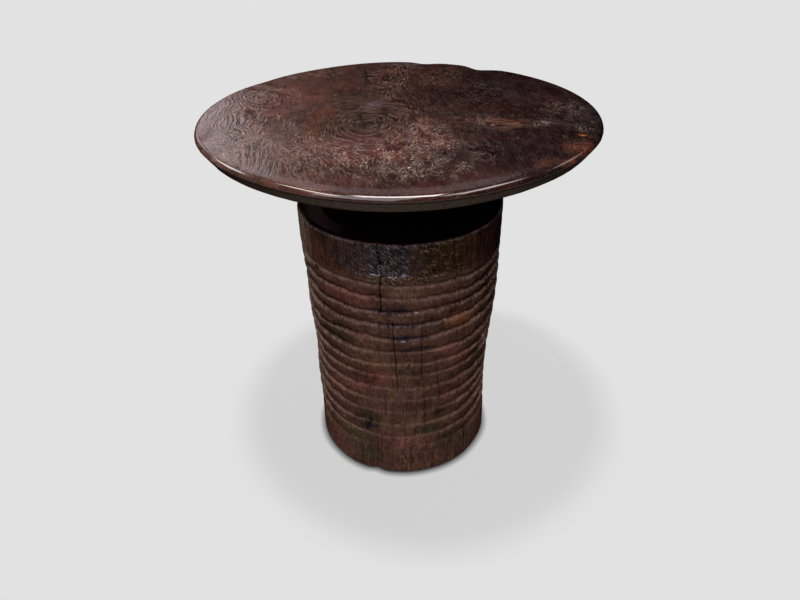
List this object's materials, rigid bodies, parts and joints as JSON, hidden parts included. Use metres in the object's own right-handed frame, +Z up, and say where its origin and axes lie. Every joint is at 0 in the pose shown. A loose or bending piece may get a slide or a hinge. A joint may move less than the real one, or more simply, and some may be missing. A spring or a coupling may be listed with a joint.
{
  "type": "african drum table",
  "caption": "Round live-edged burl slab top on a dark recessed neck over a hollow carved log drum with rings round its side.",
  "frame": {"origin": "on the drum's axis at floor level, under the centre of the tabletop's extents", "axes": "+Z up out of the tabletop; the front faces -Y; +X to the right seen from the front"},
  "size_m": [0.557, 0.5746, 0.569],
  "materials": {
    "tabletop_burl": "dark oiled burl, satin to glossy",
    "drum_log": "hand-carved, dark stained and waxed",
    "neck_stain": "black-brown stain, matt",
    "board_stain": "dark stain, satin",
    "zinc_steel": "zinc plated",
    "insert_brass": "turned",
    "glide_felt": "pressed felt"
  },
  "bodies": {
    "root": {"tabletop": "tabletop_burl", "drum_shell": "drum_log", "neck_block": "neck_stain", "mouth_board": "board_stain", "screw_plugs": "board_stain", "board_screws": "zinc_steel", "neck_screws": "zinc_steel", "tabletop_bolts": "zinc_steel", "bolt_washers": "zinc_steel", "threaded_inserts": "insert_brass", "felt_glides": "glide_felt"}
  },
  "joints": []
}
